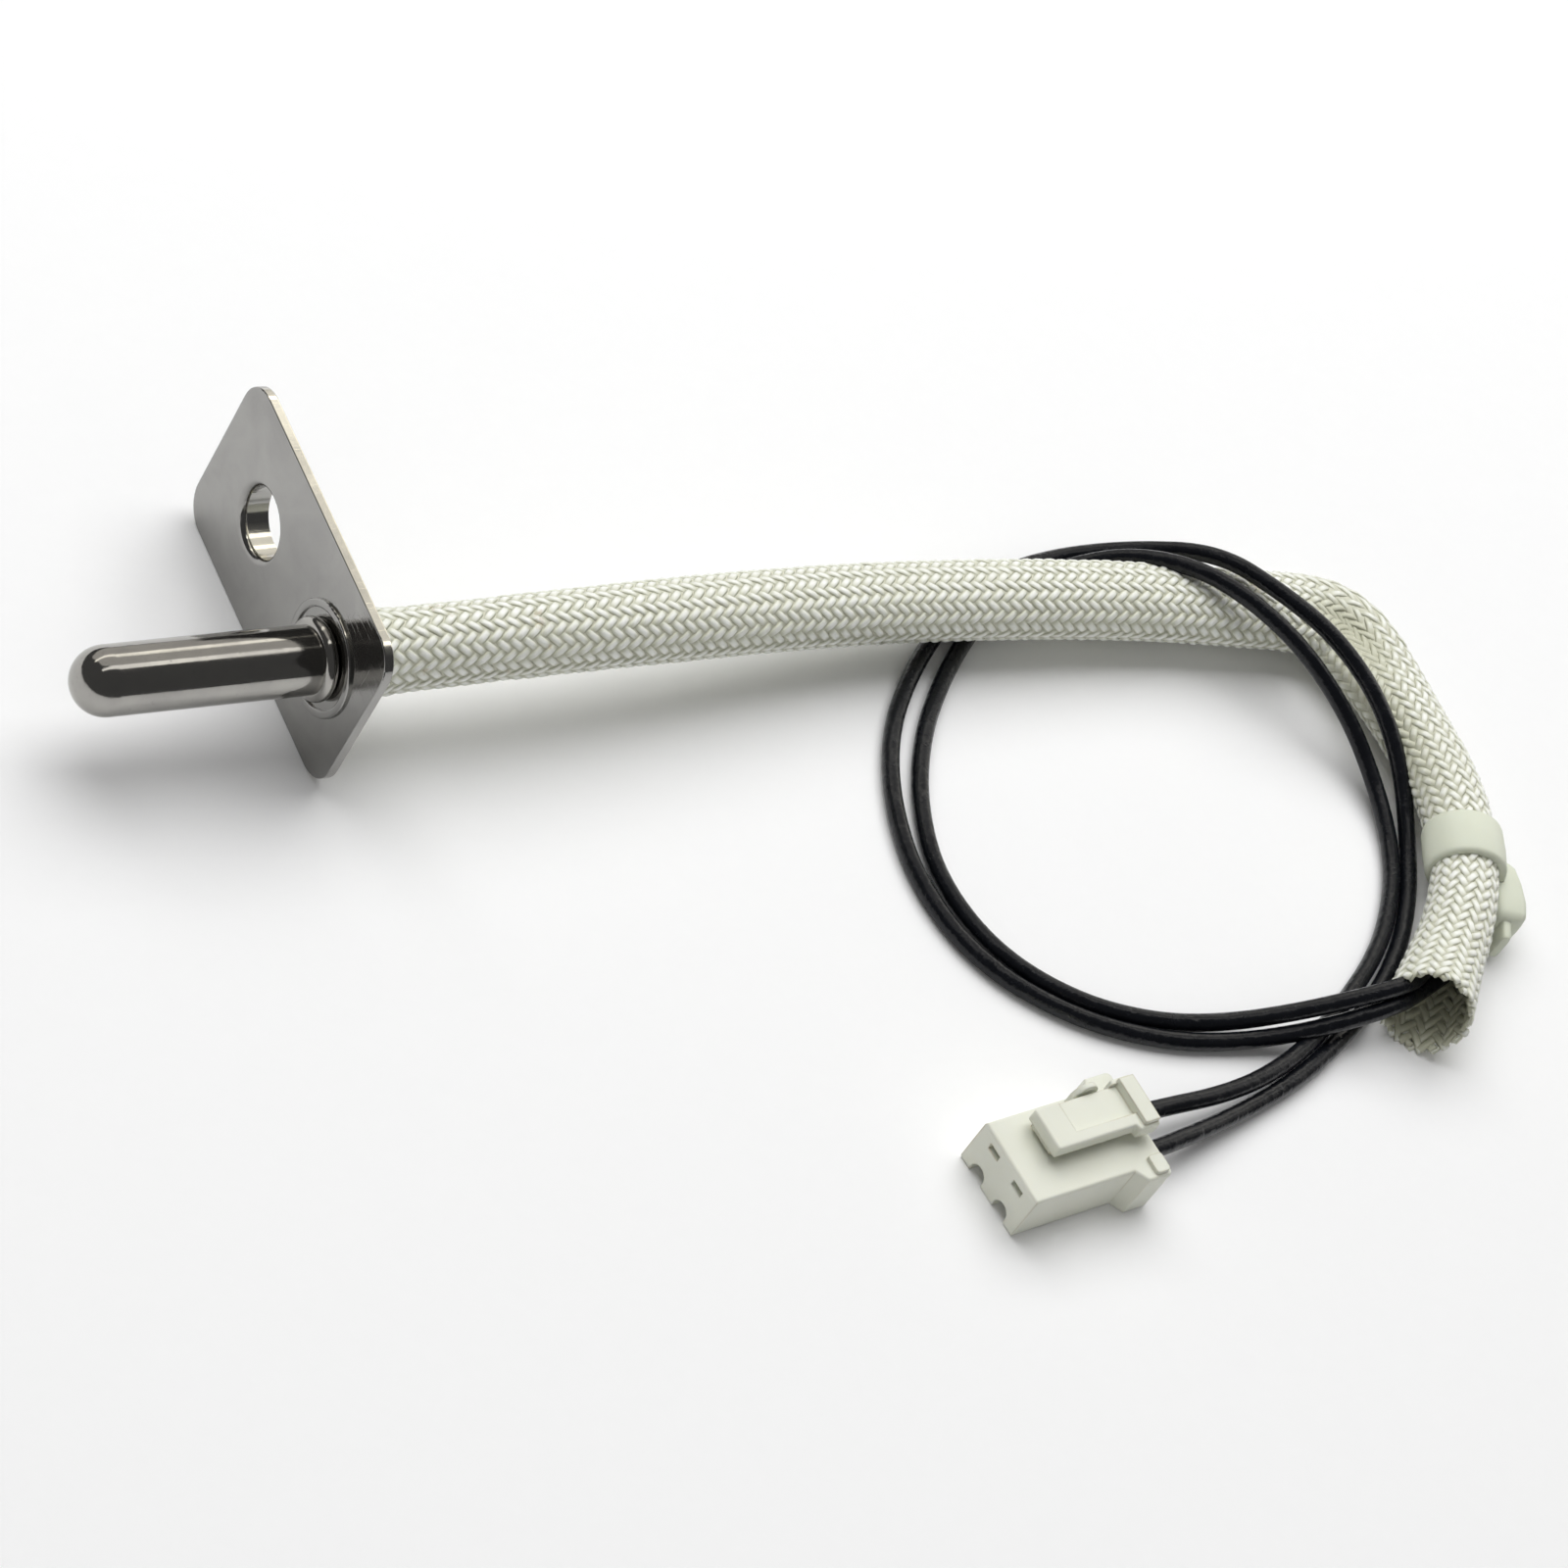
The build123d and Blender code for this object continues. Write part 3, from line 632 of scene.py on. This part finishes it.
class SleeveShape:
    """The sleeve's mid-surface: where a point lies at a distance along it and a turn round it."""

    def __init__(self, line):
        self.line = line
        table = np.array(sleeve_sections)
        scale = line.length / (table[-1, 0] * MM)
        stations = table[:, 0] * MM * scale
        self.fine = np.linspace(0, line.length, SECTION_SAMPLES)
        kernel = np.hanning(SMOOTHING)
        kernel /= kernel.sum()
        self.smooth = []
        for column in (table[:, 1:] * MM).T:
            padded = np.pad(np.interp(self.fine, stations, column), SMOOTHING // 2, mode="edge")
            self.smooth.append(np.convolve(padded, kernel, mode="valid"))

    def patch(self, distance, turn, place, reach, middle):
        """How much of a soft patch of the surface reaches a point, from 0 to 1."""
        aside = (turn - middle + math.pi) % FULL_TURN - math.pi
        return np.exp(-(((distance - place) / reach) ** 2) - (aside / FOLD_SPREAD) ** 2)

    def crease(self, distance, turn):
        """How much of the fold's flattened patch reaches a point."""
        return self.patch(distance, turn, FOLD_PLACE, FOLD_REACH, FOLD_TURN)

    def surface(self, distance, turn, height=0.0):
        """Points and outward directions. Turn 0 is the line's left, and a quarter turn is up."""
        height = height - FOLD_DEPTH * self.crease(distance, turn)
        wide, tall, rise = (np.interp(distance, self.fine, column) for column in self.smooth)
        turn = turn + SECTION_EVENING * (wide - tall) / (wide + tall) * np.sin(2 * turn)
        centre, side, upright = self.line.frame(distance)
        across, up = wide * np.cos(turn), tall * np.sin(turn)
        normal = side * (across / wide**2)[..., None] + upright * (up / tall**2)[..., None]
        normal /= np.linalg.norm(normal, axis=-1, keepdims=True)
        place = centre + side * across[..., None] + upright * (up + rise)[..., None]
        near_mouth = np.clip(1 - (self.line.length - distance) / MOUTH_REACH, 0, 1) ** 2
        lean = MOUTH_SLANT * near_mouth * np.cos(turn - MOUTH_SIDE)
        place = place + self.line.at(distance, self.line.tangents) * lean[..., None]
        return place + normal * np.asarray(height)[..., None], normal


def soft_noise(rng, count, knots):
    """A smooth random curve through a few knots, between about -1 and 1."""
    values = rng.uniform(-1, 1, knots)
    return np.interp(np.linspace(0, knots - 1, count), np.arange(knots), values)


def make_braid(shape):
    """Two sets of yarns wound opposite ways, each passing over two and under two of the other."""
    rng = np.random.default_rng(7)
    half_pitch = STITCH_PITCH / 2
    crossings = shape.line.length / half_pitch
    count = int(crossings * RINGS_PER_CROSSING) + 1
    section = turns(YARN_SIDES)
    vertices, faces, caps, places = [], [], [], []
    for hand in (1, -1):
        for yarn in range(YARNS):
            cut = rng.uniform(*CUT_SPREAD)
            u = np.linspace(0, crossings + cut, count)
            drift = DRIFT_NOISE * soft_noise(rng, count, DRIFT_KNOTS)
            turn = FULL_TURN / YARNS * (yarn + hand * u / 2 + drift)
            swing = hand * np.cos(math.pi / 2 * (2 * yarn + hand * u - 0.5))
            level = 1 - FOLD_LEVEL * shape.crease(u * half_pitch, turn)
            height = YARN_SWING * level * swing + HEIGHT_NOISE * soft_noise(rng, count, HEIGHT_KNOTS)
            fray = np.clip((u - crossings + FRAY_CROSSINGS) / FRAY_CROSSINGS, 0, FRAY_MOST)
            height = height + fray**2 * rng.uniform(*FRAY_LIFT) * MM
            distance = u * half_pitch
            inside = np.clip(distance, 0, shape.line.length)
            centre, normal = shape.surface(inside, turn, height)
            tangent = shape.line.at(inside, shape.line.tangents)
            centre = centre + tangent * (distance - inside)[:, None]
            direction = np.gradient(centre, axis=0)
            direction /= np.linalg.norm(direction, axis=1)[:, None]
            across = np.cross(normal, direction)
            across /= np.linalg.norm(across, axis=1)[:, None]
            width = YARN_HALF_WIDTH * (1 + WIDTH_NOISE * soft_noise(rng, count, SIZE_KNOTS))
            thick = YARN_HALF_THICKNESS * (1 + THICKNESS_NOISE * soft_noise(rng, count, SIZE_KNOTS))
            ring = (
                centre[:, None]
                + across[:, None] * (np.cos(section)[None, :] * width[:, None])[..., None]
                + normal[:, None] * (np.sin(section)[None, :] * thick[:, None])[..., None] * YARN_BULGE
            )
            offset = len(vertices) * count * YARN_SIDES
            vertices.append(ring.reshape(-1, 3))
            faces.append(ring_faces(count, YARN_SIDES, offset))
            caps.extend(end_caps(count, YARN_SIDES, offset))
            # Painted shade for the fold's patch and the leg's inner side: it lowers the rise kept in
            # yarn_place, which the yarn's material darkens.
            painted_fold_shade = FOLD_SHADE * shape.crease(inside, turn)
            painted_fold_shade += INNER_SHADE * shape.patch(inside, turn, INNER_PLACE, INNER_REACH, INNER_TURN)
            place = np.zeros((count, YARN_SIDES, 3))
            place[..., 0] = distance[:, None] + yarn * GRAIN_SHIFT + hand
            place[..., 1] = np.cos(section)[None, :]
            place[..., 2] = (swing - painted_fold_shade)[:, None]
            places.append(place.reshape(-1, 3))
    faces = np.concatenate(faces).tolist() + caps
    smooth = [True] * len(faces)
    made = piece(
        "braided_sleeve_yarns", np.concatenate(vertices), faces, smooth, glass_yarn()
    )
    attribute = made.data.attributes.new("yarn_place", "FLOAT_VECTOR", "POINT")
    attribute.data.foreach_set("vector", np.concatenate(places).astype(np.float32).ravel())
    return made


def make_web(shape):
    """The coating that fills the braid between its yarns, as a thin closed skin."""
    distance = np.linspace(WEB_START, shape.line.length - WEB_SHORT, WEB_RINGS)
    distance, turn = np.meshgrid(distance, turns(WEB_SIDES), indexing="ij")
    outer, _ = shape.surface(distance, turn, WEB_OUTER * np.ones_like(turn))
    inner, _ = shape.surface(distance, turn, WEB_INNER * np.ones_like(turn))
    vertices = np.concatenate([outer.reshape(-1, 3), inner.reshape(-1, 3)])
    size = WEB_RINGS * WEB_SIDES
    skin = ring_faces(WEB_RINGS, WEB_SIDES)
    lining = ring_faces(WEB_RINGS, WEB_SIDES, size)[:, ::-1]
    spot = np.arange(WEB_SIDES)
    beside = (spot + 1) % WEB_SIDES
    start = np.stack([beside, spot, spot + size, beside + size], axis=1)
    last = size - WEB_SIDES
    end = np.stack([spot + last, beside + last, beside + last + size, spot + last + size], axis=1)
    faces = np.concatenate([skin, lining, start, end]).tolist()
    smooth = [True] * len(faces)
    return piece("braided_sleeve_web", vertices, faces, smooth, glass_web())


# ------------------------------------------------------------------ cable tie
TIE_CENTRE = (0.07395, -0.02123, -0.0028)
TIE_SHIFT = 0.3 * MM         # how far past that point the visible band sits
BAND_SIDES = 96
HEAD_SIDES = 32
HEAD_SQUARENESS = 4.5
SHARP_ANGLE = math.radians(50)
# The band's cross-section: distance along the sleeve, and height above its mid-surface, in mm.
band_profile = [
    (-1.60, 0.10),
    (-1.66, 0.45),
    (-1.58, 0.60),
    (-1.35, 0.66),
    (0.0, 0.70),
    (1.35, 0.66),
    (1.58, 0.60),
    (1.66, 0.45),
    (1.60, 0.10),
]
# The head, section by section: distance along the sleeve, its middle's distance out from the sleeve's
# line and up from it, its half thickness and its half height, in mm.
head_sections = [
    (-0.20, 2.60, -1.20, 0.60, 1.00),
    (-0.15, 2.65, -1.20, 0.85, 1.30),
    (0.20, 2.75, -1.25, 1.02, 1.50),
    (1.20, 2.95, -1.35, 1.15, 1.60),
    (2.60, 3.15, -1.45, 1.20, 1.60),
    (3.50, 3.20, -1.50, 1.12, 1.50),
    (3.90, 3.15, -1.50, 0.95, 1.35),
    (4.02, 3.15, -1.50, 0.70, 1.05),
]
# The strap's cut end, beyond the head, in the same terms.
tail_sections = [
    (3.80, 3.00, -1.60, 0.34, 1.10),
    (5.05, 2.98, -1.75, 0.32, 1.06),
    (5.20, 2.98, -1.75, 0.26, 0.98),
]


def box_ring(count, squareness):
    """A rounded square of radius 1, as points round it."""
    ease = 2 / squareness
    first, second = np.cos(turns(count)), np.sin(turns(count))
    return np.sign(first) * np.abs(first) ** ease, np.sign(second) * np.abs(second) ** ease


def make_tie(shape):
    """A snug nylon band pinching the sleeve, with its head and the strap's cut end on the outer side."""
    gaps = np.linalg.norm(shape.line.points - np.array(TIE_CENTRE), axis=1)
    station = shape.line.along[np.argmin(gaps)] + TIE_SHIFT
    centre, side, upright = shape.line.frame(station)
    tangent = shape.line.at(station, shape.line.tangents)
    turn = turns(BAND_SIDES)
    band = []
    for along, height in np.array(band_profile) * MM:
        ring, _ = shape.surface(np.full(BAND_SIDES, station), turn, np.full(BAND_SIDES, height))
        band.append(ring + tangent * along)
    vertices = [np.concatenate(band)]
    spot = np.arange(BAND_SIDES)
    beside = (spot + 1) % BAND_SIDES
    last = (len(band) - 1) * BAND_SIDES
    closing = np.stack([spot + last, beside + last, beside, spot], axis=1)
    walls = ring_faces(len(band), BAND_SIDES)
    faces = np.concatenate([walls, closing])[:, ::-1].tolist()
    wide, tall = box_ring(HEAD_SIDES, HEAD_SQUARENESS)
    for sections in (head_sections, tail_sections):
        offset = sum(len(part) for part in vertices)
        rings = [
            centre + tangent * along * MM + side * ((out + half_out * wide) * MM)[:, None]
            + upright * ((up + half_up * tall) * MM)[:, None]
            for along, out, up, half_out, half_up in sections
        ]
        vertices.append(np.concatenate(rings))
        faces.extend(ring_faces(len(rings), HEAD_SIDES, offset).tolist())
        faces.extend(end_caps(len(rings), HEAD_SIDES, offset))
    smooth = [len(face) == 4 for face in faces]
    vertices = np.concatenate(vertices)
    made = piece("cable_tie_moulding", vertices, faces, smooth, tie_plastic)
    made.data.set_sharp_from_angle(angle=SHARP_ANGLE)
    return made


# ------------------------------------------------------------------ build
make_camera()
make_studio()

wire_material = wire_rubber()
held_a = [(x, y, z + WIRE_OFFSET) for x, y, z in sleeve_route[1:6]]
held_b = [(x, y, z - WIRE_OFFSET) for x, y, z in sleeve_route[1:6]]
route_a = [(WIRE_START, 0, WIRE_OFFSET), *held_a, *side_by_side_a, *free_route_a, *plug_entry_a]
route_b = [(WIRE_START, 0, -WIRE_OFFSET), *held_b, *side_by_side_b, *free_route_b, *plug_entry_b]
wire_a = make_wire("wire_a_insulation", route_a)
wire_b = make_wire("wire_b_insulation", route_b)
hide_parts("wire_a")
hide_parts("wire_b")

sleeve_line = Line(sleeve_route)
sleeve = SleeveShape(sleeve_line)
braid = make_braid(sleeve)
web = make_web(sleeve)
tie_plastic = moulded_plastic(
    "tie_nylon", (0.74, 0.77, 0.64), (0.68, 0.71, 0.58), (0.52, 0.52, 0.40), 0.3
)
tie = make_tie(sleeve)
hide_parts("braided_sleeve")
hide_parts("cable_tie")

ivory = moulded_plastic("ivory_nylon", (0.81, 0.82, 0.72), (0.75, 0.76, 0.66), (0.52, 0.42, 0.25), 0.6)
tinned = plain_stock("tinned_bronze", (0.72, 0.70, 0.66), (0.60, 0.58, 0.54), 1.0, 0.28)
copper = plain_stock("copper", (0.80, 0.42, 0.26), (0.66, 0.32, 0.19), 1.0, 0.3)
finishes = {
    "probe_sheath": tube_steel(),
    "mounting_plate": plate_steel(),
    "thermistor_bead": plain_stock("bead_glass", (0.32, 0.12, 0.05), (0.2, 0.07, 0.03), 0.0, 0.15),
    "bead_leads": tinned,
    "lead_insulators": plain_stock("fluoropolymer", (0.75, 0.75, 0.73), (0.65, 0.65, 0.63), 0.0, 0.4),
    "tip_compound": plain_stock("tip_epoxy", (0.10, 0.08, 0.06), (0.06, 0.05, 0.04), 0.0, 0.35),
    "insulation_liner": plain_stock("polyimide", (0.55, 0.25, 0.05), (0.45, 0.19, 0.04), 0.0, 0.25),
    "splice_crimps": tinned,
    "splice_covers": plain_stock("shrink_tube", (0.03, 0.03, 0.03), (0.02, 0.02, 0.02), 0.0, 0.45),
    "splice_conductors": copper,
    "rear_seal": plain_stock("seal_silicone", (0.45, 0.10, 0.06), (0.35, 0.07, 0.04), 0.0, 0.5),
    "plug_housing": ivory,
    "plug_latch": ivory,
    "terminal_a": tinned,
    "terminal_b": tinned,
    "plug_conductors": copper,
}
for node_name, finish in finishes.items():
    mesh = nodes[node_name].data
    for spot in range(max(1, len(mesh.materials))):
        if spot < len(mesh.materials):
            mesh.materials[spot] = finish
        else:
            mesh.materials.append(finish)
